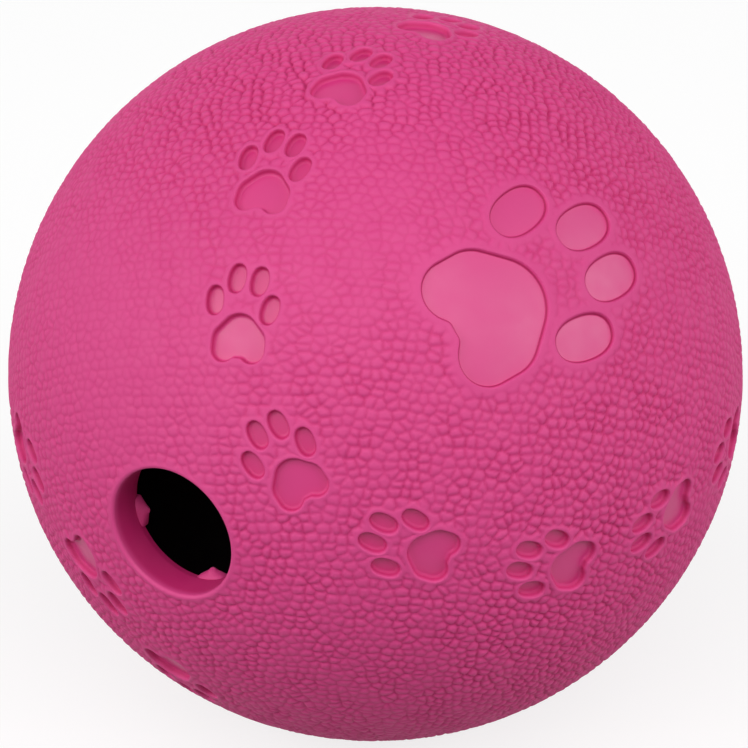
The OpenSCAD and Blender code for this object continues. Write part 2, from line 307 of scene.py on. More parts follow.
def print_frame(out, ahead):
    """The frame of a print that faces out and heads as near to ahead as it can."""
    n = unit(out)
    f = unit(ahead - (ahead @ n) * n)
    return np.array([np.cross(f, n), f, n])


def moved(fr, side, ahead, turn):
    """The frame stepped aside and ahead over the ball, in millimetres, and turned."""
    g = print_frame(fr[2] * BALL_R + fr[0] * side + fr[1] * ahead, fr[1])
    c, s = cosd(turn), sind(turn)
    return np.array([g[0] * c + g[1] * s, g[1] * c - g[0] * s, g[2]])


def small_paw_frames():
    turns = TRAIL_START + 360 * np.arange(TRAIL_STEPS + 1) / TRAIL_STEPS
    run = np.linalg.norm(np.diff(trail_point(turns), axis=0), axis=1)
    run = np.concatenate([[0.0], np.cumsum(run)])
    frames = []
    for i in range(TRAIL_PAWS):
        t = np.interp(run[-1] * i / TRAIL_PAWS, run, turns)
        fr = print_frame(trail_point(t), trail_point(t + 1) - trail_point(t - 1))
        k = i % len(PAW_TURNS)
        frames.append(moved(fr, PAW_SIDE_STEPS[k], PAW_AHEAD_STEPS[k], PAW_TURNS[k]))
    return frames


def large_paw_frames():
    frames = []
    for k in range(4):
        rear = k > 1
        a = TRAIL_START + 180 * k + (90 if rear else 0)
        c = 180 - LARGE_PAW_ANGLE if rear else LARGE_PAW_ANGLE
        n = np.array([sind(c) * cosd(a), sind(c) * sind(a), cosd(c)])
        f = np.array([cosd(c) * cosd(a), cosd(c) * sind(a), -sind(c)])
        frames.append(moved(print_frame(n, -f if rear else f), 0, 0, -LARGE_PAW_TWIST))
    return frames


# Outlines of toes and heel pad, closed and evenly stepped, in the paw's own plane


def even_loop(points, count):
    """The closed outline through points, stepped evenly."""
    closed = np.vstack([points, points[:1]])
    run = np.linalg.norm(np.diff(closed, axis=0), axis=1)
    run = np.concatenate([[0.0], np.cumsum(run)])
    at = np.linspace(0, run[-1], count, endpoint=False)
    return np.stack([np.interp(at, run, x) for x in closed.T], -1)


def toe_loop(centre, lean, count):
    """A toe's outline, a superellipse that leans by some degrees."""
    a = np.linspace(0, 2 * math.pi, TOE_RAYS, endpoint=False)
    power = 2 / TOE_POWER
    x = TOE_R * np.sign(np.cos(a)) * np.abs(np.cos(a)) ** power
    y = TOE_HALF_L * np.sign(np.sin(a)) * np.abs(np.sin(a)) ** power
    c, s = cosd(-lean), sind(-lean)
    pts = np.stack([centre[0] + c * x - s * y, centre[1] + s * x + c * y], -1)
    return even_loop(pts, count)


def cone_distance(p, a, b):
    """Distance to the hull of two circles, each given as x, y and radius."""
    a, b = np.array(a), np.array(b)
    ba = b[:2] - a[:2]
    length = np.linalg.norm(ba)
    along = ba / length
    s = (a[2] - b[2]) / length
    q = p - a[:2]
    u = q @ along
    v = np.abs(q @ np.array([-along[1], along[0]]))
    k = math.sqrt(1 - s * s)
    w = u * k - v * s
    flank = u * s + v * k - a[2]
    near_a = np.hypot(u, v) - a[2]
    near_b = np.hypot(u - length, v) - b[2]
    return np.where(w < 0, near_a, np.where(w > length * k, near_b, flank))


def heel_distance(p):
    """Negative inside the heel pad, whose rear lobes blend into the part between them."""
    q = np.stack([np.abs(p[..., 0]), p[..., 1]], -1)
    front = cone_distance(q, HEEL_FRONT, HEEL_SIDE)
    flank = np.minimum(front, cone_distance(q, HEEL_SIDE, HEEL_REAR))
    rear = [
        np.linalg.norm(p - np.array([x, y]), axis=-1) - r
        for x, y, r in (HEEL_REAR, HEEL_MID, (-HEEL_REAR[0], HEEL_REAR[1], HEEL_REAR[2]))
    ]
    blended = -HEEL_BLEND * np.log(sum(np.exp(-f / HEEL_BLEND) for f in rear))
    return np.minimum(flank, blended)


def heel_loop(count, turn):
    """The heel pad's outline, found by halving along rays from its centre, and turned."""
    centre = np.array(HEEL_CENTRE)
    a = np.linspace(0, 2 * math.pi, HEEL_RAYS, endpoint=False)
    d = np.stack([np.cos(a), np.sin(a)], -1)
    lo, hi = np.zeros(len(a)), np.full(len(a), HEEL_REACH)
    for _ in range(HALVINGS):
        mid = (lo + hi) / 2
        inside = heel_distance(centre + d * mid[:, None]) < 0
        lo, hi = np.where(inside, mid, lo), np.where(inside, hi, mid)
    c, s = cosd(turn), sind(turn)
    return even_loop((centre + d * lo[:, None]) @ np.array([[c, s], [-s, c]]), count)


class Pad:
    """One toe or heel print: its frame, outline, outward normals and kind."""

    def __init__(self, fr, loop, large, heel):
        self.fr, self.loop, self.large, self.heel = fr, loop, large, heel
        step = np.roll(loop, -1, 0) - np.roll(loop, 1, 0)
        self.normal = unit(np.stack([step[:, 1], -step[:, 0]], -1))
        self.mid = loop.mean(0)
        self.reach = np.linalg.norm(loop - self.mid, axis=1).max()

    def nearest(self, uv):
        """Signed distance to the outline, its nearest point and the normal there."""
        a, b = self.loop, np.roll(self.loop, -1, 0)
        na, nb = self.normal, np.roll(self.normal, -1, 0)
        ab = b - a
        q = uv[:, None] - a[None]
        t = np.clip((q * ab).sum(-1) / (ab * ab).sum(-1), 0, 1)
        off = q - t[..., None] * ab
        d2 = (off * off).sum(-1)
        i = d2.argmin(1)
        row = np.arange(len(uv))
        t = t[row, i][:, None]
        foot = a[i] + t * ab[i]
        normal = unit(na[i] * (1 - t) + nb[i] * t)
        gap = uv - foot
        sign = np.where((gap * normal).sum(-1) < 0, -1.0, 1.0)
        return sign * np.sqrt(d2[row, i]), foot, normal


def make_pads():
    """All prints: four toes and a heel pad for each small paw, then for each large one."""
    c, s = cosd(TRAIL_TURN), sind(TRAIL_TURN)
    turn = np.array([[c, -s, 0], [s, c, 0], [0, 0, 1]])
    pads = []
    for large, frames in ((False, small_paw_frames()), (True, large_paw_frames())):
        k = LARGE_PAW_RATIO if large else 1.0
        n = 2 if large else 1
        toe_points = TOE_POINTS * n
        loops = [toe_loop((m * INNER_TOE[0], INNER_TOE[1]), 0, toe_points) for m in (-1, 1)]
        for m in (-1, 1):
            place = (m * OUTER_TOE[0] - OUTER_TOE_SKEW, OUTER_TOE[1] - m * OUTER_TOE_SKEW)
            loops.append(toe_loop(place, m * OUTER_TOE_LEAN, toe_points))
        loops.append(heel_loop(HEEL_POINTS * n, 0.0 if large else HEEL_TURN))
        for fr in frames:
            fr = fr @ turn.T
            pads += [Pad(fr, loop * k, large, loop is loops[-1]) for loop in loops]
    return pads


# Ring meshes


def zipper(ids_a, ang_a, ids_b, ang_b):
    """Triangles between two closed rings of points whose angles rise from about zero."""
    full = 2 * math.pi
    mid_a = (ang_a + np.append(ang_a[1:], ang_a[0] + full)) / 2
    mid_b = (ang_b + np.append(ang_b[1:], ang_b[0] + full)) / 2
    kind = np.concatenate([np.zeros(len(ids_a), int), np.ones(len(ids_b), int)])
    order = np.argsort(np.concatenate([mid_a, mid_b]), kind="stable")
    kind = kind[order]
    ia = np.cumsum(kind == 0) - (kind == 0)
    ib = np.cumsum(kind == 1) - (kind == 1)
    na, nb = len(ids_a), len(ids_b)
    a0, a1 = ids_a[ia % na], ids_a[(ia + 1) % na]
    b0, b1 = ids_b[ib % nb], ids_b[(ib + 1) % nb]
    first = np.stack([a0, a1, b0], -1)
    second = np.stack([a0, b1, b0], -1)
    return np.where((kind == 0)[:, None], first, second)


def ring_angles(count):
    return 2 * math.pi * np.arange(count) / count


def base_skin():
    """The plain outside: rings from the rear pole up to the mouth's lip. Gives points of
    the unit sphere, triangles, their side of the seam and the lip's ring."""
    rear_rings = round(math.pi / 2 * BALL_R / (SKIN_STEP * ROW_SHARE))
    mouth_rings = round((math.pi / 2 - LIP_COLAT) * BALL_R / (SKIN_STEP * ROW_SHARE))
    colats = np.concatenate(
        [
            np.linspace(math.pi, math.pi / 2, rear_rings + 1)[1:],
            np.linspace(math.pi / 2, LIP_COLAT, mouth_rings + 1)[1:],
        ]
    )
    points = [np.array([[0.0, 0.0, -1.0]])]
    tris, side = [], []
    ids, total = None, 1
    for k, colat in enumerate(colats):
        count = max(6, round(2 * math.pi * BALL_R * math.sin(colat) / SKIN_STEP))
        ang = ring_angles(count)
        new = np.arange(total, total + count)
        x, y = np.sin(colat) * np.cos(ang), np.sin(colat) * np.sin(ang)
        points.append(np.stack([x, y, np.full(count, math.cos(colat))], -1))
        if ids is None:
            fan = np.stack([np.zeros(count, int), np.roll(new, -1), new], -1)
            tris.append(fan)
        else:
            tris.append(zipper(ids, old_ang, new, ang))
        side.append(np.full(len(tris[-1]), -1 if k < rear_rings else 1))
        ids, old_ang, total = new, ang, total + count
    return np.vstack(points), np.vstack(tris), np.concatenate(side), ids


# Prints cut into the skin along their exact outlines


def measure(points, pads):
    """For each point of the unit sphere: signed distance to the nearest print, distance to
    the next, which print it is, and the outline's nearest point and normal."""
    n, far = len(points), 1e3
    dist, other = np.full(n, far), np.full(n, far)
    which = np.full(n, -1)
    foot, normal = np.zeros((n, 2)), np.zeros((n, 2))
    for k, pad in enumerate(pads):
        uvw = points @ pad.fr.T * BALL_R
        away = np.hypot(uvw[:, 0] - pad.mid[0], uvw[:, 1] - pad.mid[1])
        sel = np.flatnonzero((away < pad.reach + PRINT_REACH) & (uvw[:, 2] > 0))
        if not len(sel):
            continue
        d, q, nm = pad.nearest(uvw[sel, :2])
        nearer = d < dist[sel]
        other[sel] = np.where(nearer, dist[sel], np.minimum(other[sel], d))
        won = sel[nearer]
        dist[won], which[won], foot[won], normal[won] = d[nearer], k, q[nearer], nm[nearer]
    return dist, other, which, foot, normal


def rolled(tris, first):
    """The triangles with the given corner first."""
    row = np.arange(len(tris))[:, None]
    return tris[row, (first[:, None] + np.arange(3)) % 3]


def edge_keys(a, b, n):
    return np.minimum(a, b) * n + np.maximum(a, b)


def cut(points, tris, side, pads):
    """Splits the triangles that an outline crosses, so that no triangle crosses one."""
    dist, other, which, foot, normal = measure(points, pads)
    dist[np.abs(dist) < SNAP_SHARE * SKIN_STEP] = 0.0
    sign = np.sign(dist).astype(int)
    ts = sign[tris]
    crossing = (ts > 0).any(1) & (ts < 0).any(1)
    has_zero = (ts == 0).any(1)
    one = crossing & has_zero
    two = crossing & ~has_zero
    t1 = rolled(tris[one], (ts[one] == 0).argmax(1))
    lone = -ts[two].sum(1)
    t2 = rolled(tris[two], (ts[two] == lone[:, None]).argmax(1))
    n = len(points)
    k1 = edge_keys(t1[:, 1], t1[:, 2], n)
    k2a = edge_keys(t2[:, 0], t2[:, 1], n)
    k2b = edge_keys(t2[:, 0], t2[:, 2], n)
    keys, inverse = np.unique(np.concatenate([k1, k2a, k2b]), return_inverse=True)
    ea, eb = keys // n, keys % n
    t = (dist[ea] / (dist[ea] - dist[eb]))[:, None]
    new_points = unit(points[ea] * (1 - t) + points[eb] * t)
    new_which = np.where(dist[ea] < 0, which[ea], which[eb])
    new_foot, new_normal = np.zeros((len(keys), 2)), np.zeros((len(keys), 2))
    for k in np.unique(new_which):
        sel = np.flatnonzero(new_which == k)
        uv = new_points[sel] @ pads[k].fr[:2].T * BALL_R
        _, new_foot[sel], new_normal[sel] = pads[k].nearest(uv)
    m = n + inverse
    m1, m2a, m2b = np.split(m, [len(k1), len(k1) + len(k2a)])
    parts = [
        (tris[~crossing], side[~crossing]),
        (np.stack([t1[:, 0], t1[:, 1], m1], -1), side[one]),
        (np.stack([t1[:, 0], m1, t1[:, 2]], -1), side[one]),
        (np.stack([t2[:, 0], m2a, m2b], -1), side[two]),
        (np.stack([m2a, t2[:, 1], t2[:, 2]], -1), side[two]),
        (np.stack([m2a, t2[:, 2], m2b], -1), side[two]),
    ]
    field = {
        "points": np.vstack([points, new_points]),
        "dist": np.concatenate([dist, np.zeros(len(keys))]),
        "other": np.concatenate([other, np.minimum(other[ea], other[eb])]),
        "which": np.concatenate([which, new_which]),
        "foot": np.vstack([foot, new_foot]),
        "normal": np.vstack([normal, new_normal]),
    }
    return field, np.vstack([p[0] for p in parts]), np.concatenate([p[1] for p in parts])


def lift(uv, radius, fr):
    """Points of a sphere over places in each print's plane."""
    w = np.sqrt(np.maximum(radius**2 - (uv * uv).sum(-1), 0.0))
    return uv[:, :1] * fr[:, 0] + uv[:, 1:] * fr[:, 1] + w[:, None] * fr[:, 2]


def edge_profile(lip, depth, fillet_r, draft):
    """Offset outward from the outline and depth, from the outside down to the floor."""
    a = np.linspace(0, math.pi / 2, LIP_STEPS + 1)
    b = np.linspace(0, math.pi / 2, FILLET_STEPS + 1)
    lip_part = [(lip * (1 - math.sin(x)), lip * (1 - math.cos(x))) for x in a]
    foot = depth - fillet_r
    fillet = [
        (-draft - fillet_r * (1 - math.cos(x)), foot + fillet_r * math.sin(x))
        for x in b
    ]
    return np.array(lip_part + fillet)


def pressed_skin(pads):
    """The whole outside with its prints and pebbles. Gives vertices, triangles, their
    side of the seam, the lip's ring, and two attributes: depth of painted shade, and
    polish, which also sets the floors' painted shade."""
    points, tris, side, lip_ids = base_skin()
    f, tris, side = cut(points, tris, side, pads)
    dist, other, which, foot = f["dist"], f["other"], f["which"], f["foot"]
    frames = np.array([p.fr for p in pads])
    large = np.array([p.large for p in pads])
    # Painted shade on each small print's floor, deeper on toes than on heels
    shades = [0.0 if p.large else HEEL_SHADE if p.heel else TOE_SHADE for p in pads]
    floor_shade = np.array(shades)
    total = len(dist)
    on_line = dist == 0.0
    marked = which >= 0
    in_large = marked & large[np.maximum(which, 0)]
    depth_of = np.where(in_large, LARGE_PRINT_DEPTH, SMALL_PRINT_DEPTH)
    fillet_r = np.where(in_large, LARGE_FILLET, SMALL_FILLET)
    draft = np.where(in_large, LARGE_DRAFT, SMALL_DRAFT)
    band_out = np.minimum(BAND_OUT, (np.maximum(dist, 0) + other) / 2)
    lip = np.minimum(PRINT_LIP, LIP_BAND_SHARE * band_out)
    place = f["points"] * BALL_R

    uv = np.zeros((total, 2))
    uv[marked] = np.einsum("nij,nj->ni", frames[which[marked]][:, :2], place[marked])
    gap = uv - foot
    away = gap / np.maximum(np.linalg.norm(gap, axis=1), 1e-9)[:, None]

    # Outside a print the surface draws back from the outline to leave room for the lip
    out = marked & (dist > 0) & (dist < band_out)
    shift = lip + dist * (band_out - lip) / band_out
    at = foot[out] + away[out] * shift[out, None]
    place[out] = lift(at, BALL_R, frames[which[out]])

    # Inside, the floor draws in to leave room for the wall and its fillet
    inside = marked & (dist < 0)
    inner_edge = (draft + fillet_r)[inside]
    depth_in = -dist[inside]
    drawn_in = inner_edge + depth_in * (BAND_IN - inner_edge) / BAND_IN
    shift = np.where(depth_in < BAND_IN, drawn_in, depth_in)
    at = foot[inside] + away[inside] * shift[:, None]
    place[inside] = lift(at, BALL_R - depth_of[inside], frames[which[inside]])

    # Columns of the wall over each point of an outline
    line = np.flatnonzero(on_line)
    profile = edge_profile(lip[line], depth_of[line], fillet_r[line], draft[line])
    steps = len(profile)
    columns = np.zeros((len(line), steps), int)
    columns[:, 0] = line
    columns[:, 1:] = total + np.arange(len(line) * (steps - 1)).reshape(len(line), -1)
    fr, q, nm = frames[which[line]], foot[line], f["normal"][line]
    walls = []
    for k in range(steps):
        offset, depth = profile[k]
        walls.append(lift(q + nm * offset[:, None], BALL_R - depth, fr))
    place[line] = walls[0]
    wall_points = np.stack(walls[1:], 1).reshape(-1, 3)

    # Triangles inside the outlines take the foot of the wall, and the wall joins them
    is_in = dist[tris].sum(1) < 0
    to_column = np.full(total, -1)
    to_column[line] = np.arange(len(line))
    inner = tris[is_in]
    edges = np.vstack([inner[:, [0, 1]], inner[:, [1, 2]], inner[:, [2, 0]]])
    edge_side = np.tile(side[is_in], 3)
    keep = on_line[edges].all(1)
    edges, edge_side = edges[keep], edge_side[keep]
    outer = tris[~is_in]
    back = np.vstack([outer[:, [1, 0]], outer[:, [2, 1]], outer[:, [0, 2]]])
    back = back[on_line[back].all(1)]
    keep = np.isin(edges[:, 0] * total + edges[:, 1], back[:, 0] * total + back[:, 1])
    edges, edge_side = edges[keep], edge_side[keep]
    ca, cb = columns[to_column[edges[:, 0]]], columns[to_column[edges[:, 1]]]
    strips, strip_side = [], []
    for k in range(steps - 1):
        a_hi, a_lo, b_hi, b_lo = ca[:, k], ca[:, k + 1], cb[:, k], cb[:, k + 1]
        strips += [np.stack([b_lo, a_lo, a_hi], -1), np.stack([b_lo, a_hi, b_hi], -1)]
        strip_side += [edge_side, edge_side]
    foot_of = np.arange(total)
    foot_of[line] = columns[:, -1]
    inner = foot_of[inner]

    # Pebbles on what is left of the outside, fading out at the prints and at the lip
    is_out = dist >= 0
    skin_dir = unit(place[is_out])
    big = in_large[is_out]
    d = dist[is_out]
    fade = np.where(big, smooth(d, *LARGE_PRINT_FADE), smooth(d, *SMALL_PRINT_FADE))
    fade *= smooth((np.arccos(skin_dir[:, 2]) - LIP_COLAT) * BALL_R, *MOUTH_FADE)
    height, groove = pebbles(skin_dir)
    place[is_out] = skin_dir * (BALL_R + height * fade)[:, None]

    # Painted shade along the pebbles' grooves, on the toes' and heels' floors, and on the
    # prints' walls, fading down each fillet to the floor's painted shade
    shade = np.zeros(total + len(wall_points))
    shade[:total][is_out] = groove * fade
    shade[:total][inside] = floor_shade[which[inside]]
    wall_shade = np.where(in_large[line], LARGE_WALL_SHADE, SMALL_WALL_SHADE)
    wall_shade = wall_shade[:, None] * WALL_FADE
    at_foot = floor_shade[which[line]][:, None]
    shade[columns[:, LIP_STEPS + 1:]] = np.maximum(wall_shade, at_foot)
    # Floors and each fillet's foot are polished, and take the floors' painted shade
    floor = np.zeros(total + len(wall_points))
    floor[:total][~is_out] = 1.0
    floor[columns[:, -1]] = 1.0
    verts = np.vstack([place, wall_points])
    faces = np.vstack([outer, inner] + strips)
    sides = np.concatenate([side[~is_in], side[is_in]] + strip_side)
    return verts, faces, sides, lip_ids, shade, floor


def relief_share(row_dirs):
    """The share of the pebbles' depth at each place: broad spots and small patches."""
    rng = np.random.default_rng(PATCH_SEED)
    waves = unit(rng.normal(size=(PATCH_WAVES, 3))) * (2 * math.pi * BALL_R / PATCH_LENGTH)
    phases = rng.random(PATCH_WAVES) * 2 * math.pi
    field = sum(np.cos(row_dirs @ w + p) for w, p in zip(waves, phases))
    field /= math.sqrt(PATCH_WAVES / 2)
    share = PATCH_LEAST + PATCH_SPREAD * smooth(field, -PATCH_LIMIT, PATCH_LIMIT)
    for place, reach, there in RELIEF_SPOTS:
        angle = np.degrees(np.arccos(np.clip(row_dirs @ unit(place), -1, 1)))
        share *= there + (1 - there) * smooth(angle, SPOT_CORE * reach, SPOT_END * reach)
    return share


def pebbles(dirs):
    """Height (never above zero) of the pebbled skin, and the painted shade along its
    grooves.
    The cells are the places nearest to each seed, and the border is where two seeds are
    equally near."""
    rng = np.random.default_rng(PEBBLE_SEED)
    row_dirs = np.stack([dirs[:, 0], -dirs[:, 2], dirs[:, 1]], -1)
    up = unit(np.array(PEBBLE_AXIS))
    east0 = unit(np.cross(up, PEBBLE_SIDE))
    north0 = np.cross(up, east0)
    rows = round(math.pi * BALL_R / PEBBLE_H)
    lat = (np.arange(rows) + 0.5) / rows * math.pi - math.pi / 2
    counts = np.round(2 * math.pi * BALL_R * np.cos(lat) / PEBBLE_W)
    counts = np.maximum(3, counts).astype(int)
    starts = np.concatenate([[0], np.cumsum(counts)[:-1]])
    seeds_n = counts.sum()
    row_of = np.repeat(np.arange(rows), counts)
    index = np.arange(seeds_n) - starts[row_of]
    offset = rng.random(rows)
    wild = 1 + POLE_JITTER * smooth(np.abs(lat), *POLE_LATITUDES)[row_of]
    lon = index + offset[row_of] + (rng.random(seeds_n) - 0.5) * WIDTH_JITTER * wild
    lon = lon / counts[row_of] * 2 * math.pi
    row_h = math.pi / rows
    seed_lat = lat[row_of] + (rng.random(seeds_n) - 0.5) * HEIGHT_JITTER * wild * row_h
    seed_lat += np.sin(lon * ROW_WAVE_COUNT + row_of * ROW_WAVE_LAG) * ROW_WAVE * row_h
    seeds = np.cos(lon)[:, None] * east0 + np.sin(lon)[:, None] * north0
    seeds = np.cos(seed_lat)[:, None] * seeds + np.sin(seed_lat)[:, None] * up
    bulge = rng.random(seeds_n)

    p_lat = np.arcsin(np.clip(row_dirs @ up, -1, 1))
    p_lon = np.arctan2(row_dirs @ north0, row_dirs @ east0) % (2 * math.pi)
    east = unit(np.cross(up, row_dirs) + 1e-9)
    north = np.cross(row_dirs, east)
    home = np.floor((p_lat + math.pi / 2) / math.pi * rows).astype(int)
    n, far = len(dirs), 1e9
    best, second = np.full(n, far), np.full(n, far)
    xy1, xy2 = np.zeros((n, 2)), np.zeros((n, 2))
    own = np.zeros(n, int)
    for dr in (-2, -1, 0, 1, 2):
        r = np.clip(home + dr, 0, rows - 1)
        valid = home + dr == r
        base = np.floor(p_lon / (2 * math.pi) * counts[r] - offset[r]).astype(int)
        for dc in (-1, 0, 1, 2):
            s = starts[r] + (base + dc) % counts[r]
            gap = (seeds[s] - row_dirs) * BALL_R
            x = (gap * east).sum(1) / PEBBLE_W
            y = (gap * north).sum(1) / PEBBLE_H
            d2 = np.where(valid, x * x + y * y, far)
            fresh = s != own
            first = d2 < best
            runner = ~first & (d2 < second) & fresh
            xy2[first] = xy1[first]
            second = np.where(first, best, np.where(runner, d2, second))
            xy2[runner, 0], xy2[runner, 1] = x[runner], y[runner]
            best = np.where(first, d2, best)
            xy1[first, 0], xy1[first, 1] = x[first], y[first]
            own = np.where(first, s, own)
    between = np.maximum(np.linalg.norm(xy1 - xy2, axis=1), 1e-6)
    border = (second - best) / (2 * between) * (PEBBLE_W + PEBBLE_H) / 2
    t = np.clip(border / PEBBLE_EDGE, 0, 1)
    share = relief_share(row_dirs)
    sunk = PEBBLE_DOME * (1 - t) ** 2 + best + PEBBLE_BULGE * bulge[own] * t
    # Painted shade along the grooves, fading with the relief
    groove = share * np.exp(-((border / GROOVE_SHADE_W) ** 2))
    return -PEBBLE_DEPTH * share * sunk, groove


# The rest of each half: lip, bore, hollow, seat and seam faces


class Shell:
    """A growing closed mesh. Rings are added along its section and joined as they come,
    and each new point gets its depth of painted shade."""

    def __init__(self, verts, faces, shade):
        self.verts, self.faces, self.shades = [verts], [faces], [shade]
        self.total = len(verts)
        self.corners = []

    def add(self, points, shade):
        ids = np.arange(self.total, self.total + len(points))
        self.verts.append(points)
        self.shades.append(np.full(len(points), shade))
        self.total += len(points)
        return ids

    def ring(self, r, z, count):
        ang = ring_angles(count)
        pts = np.stack([r * np.cos(ang), r * np.sin(ang), np.full(count, z)], -1)
        # Painted shade in the bore, growing below the lip, and full on the inner faces
        # beyond
        return self.add(pts, BORE_SHADE * smooth(LIP_Z - z, 0.0, BORE_FADE)), ang

    def along(self, start, section, count, corner=()):
        """Joins rings at each (r, z) of section on to the ring start and gives the last."""
        here = start
        for k, (r, z) in enumerate(section):
            new = self.ring(r, z, count)
            self.faces.append(zipper(*here, *new))
            if k in corner:
                self.corners.append(new[0])
            here = new
        return here

    def join(self, a, b):
        self.faces.append(zipper(*a, *b))

    def arrays(self):
        return np.vstack(self.verts), np.vstack(self.faces), np.concatenate(self.shades)


def boundary_loop(faces, verts):
    """The open edge of a half's outside at the seam, as ids and rising angles."""
    n = len(verts)
    edges = np.vstack([faces[:, [0, 1]], faces[:, [1, 2]], faces[:, [2, 0]]])
    keys = edges[:, 0] * n + edges[:, 1]
    back = edges[:, 1] * n + edges[:, 0]
    edges = edges[~np.isin(keys, back)]
    edges = edges[(np.abs(verts[edges, 2]) < SEAM_REACH).all(1)]
    nxt = dict(zip(edges[:, 0].tolist(), edges[:, 1].tolist()))
    ang = np.arctan2(verts[:, 1], verts[:, 0])
    start = min(nxt, key=lambda i: abs(ang[i]))
    loop = [start]
    while True:
        i = nxt[loop[-1]]
        if i == start:
            break
        loop.append(i)
    loop = np.array(loop)
    a = np.unwrap(ang[loop])
    if a[-1] < a[0]:
        loop = np.concatenate([loop[:1], loop[:0:-1]])
        a = np.unwrap(ang[loop])
    return loop, np.maximum.accumulate(a)


def arc_section(centre, radius, a0, a1, steps):
    a = np.linspace(a0, a1, steps + 1)[1:]
    return [(centre[0] + radius * math.cos(x), centre[1] + radius * math.sin(x)) for x in a]


def line_section(p, q, steps):
    return [
        (p[0] + (q[0] - p[0]) * k / steps, p[1] + (q[1] - p[1]) * k / steps)
        for k in range(1, steps + 1)
    ]


def half_of(skin, side):
    """One half of the outside, its renumbering and its attributes."""
    verts, faces, sides, lip_ids, shade, floor = skin
    sel = faces[sides == side]
    used = np.unique(sel)
    renumber = np.full(len(verts), -1)
    renumber[used] = np.arange(len(used))
    return verts[used], renumber[sel], renumber, shade[used], floor[used]


def tooth_mesh():
    """One moulded tooth with rounded edges: a ramp that narrows towards its tip."""
    tip_r = MOUTH_R - TOOTH_REACH
    top = BORE_FOOT_Z + TOOTH_DROP
    foot = BORE_FOOT_Z - TOOTH_TIP_T
    root_r = MOUTH_R + TOOTH_ROOT
    half_w = TOOTH_W / 2
    arc = np.linspace(*np.radians(TOOTH_TIP_ARC), TOOTH_TIP_POINTS)
    mid_r = tip_r + TOOTH_TIP_R
    tip = [(mid_r + TOOTH_TIP_R * math.cos(a), TOOTH_TIP_R * math.sin(a)) for a in arc]
    shoulder = [
        (MOUTH_R + TOOTH_SHOULDER_IN[0], half_w - TOOTH_SHOULDER_IN[1]),
        (MOUTH_R + TOOTH_SHOULDER_OUT, half_w),
        (root_r, half_w),
    ]
    ring = np.array(shoulder[::-1] + tip + [(x, -y) for x, y in shoulder])
    dense = []
    for a, b in zip(ring, np.roll(ring, -1, 0)):
        n = max(1, int(np.linalg.norm(b - a) / TOOTH_STEP))
        dense += [a + (b - a) * k / n for k in range(n)]
    ring = np.array(dense)
    step = np.roll(ring, -1, 0) - np.roll(ring, 1, 0)
    normal = unit(np.stack([-step[:, 1], step[:, 0]], -1))
    if (normal * (ring - ring.mean(0))).sum() < 0:
        normal = -normal
    slope = TOOTH_DROP / TOOTH_REACH

    def level(inset, lower, from_top):
        xy = ring - normal * inset
        ramp = np.minimum(top, BORE_FOOT_Z + (xy[:, 0] - tip_r) * slope)
        z = ramp - lower if from_top else np.full(len(xy), foot + lower)
        return np.column_stack([xy, z])

    a = np.linspace(0, math.pi / 2, TOOTH_EDGE_POINTS)
    rounding = TOOTH_EDGE * (1 - np.stack([np.sin(a), np.cos(a)], -1))
    layers = [level(inset, lower, False) for inset, lower in rounding]
    layers += [level(inset, lower, True) for lower, inset in rounding]
    n = len(ring)
    pts = np.vstack(layers)
    faces = []
    for k in range(len(layers) - 1):
        i = np.arange(n) + k * n
        j = np.roll(np.arange(n), -1) + k * n
        faces += [np.stack([i, j, j + n], -1), np.stack([i, j + n, i + n], -1)]
    base = len(pts)
    caps = [layers[0].mean(0), layers[-1].mean(0)]
    pts = np.vstack([pts, caps])
    i, j = np.arange(n), np.roll(np.arange(n), -1)
    last = (len(layers) - 1) * n
    faces.append(np.stack([j, i, np.full(n, base)], -1))
    faces.append(np.stack([i + last, j + last, np.full(n, base + 1)], -1))
    faces = np.vstack(faces)
    tri = pts[faces]
    volume = np.einsum("ij,ij->i", tri[:, 0], np.cross(tri[:, 1], tri[:, 2])).sum()
    return pts, (faces if volume > 0 else faces[:, ::-1])


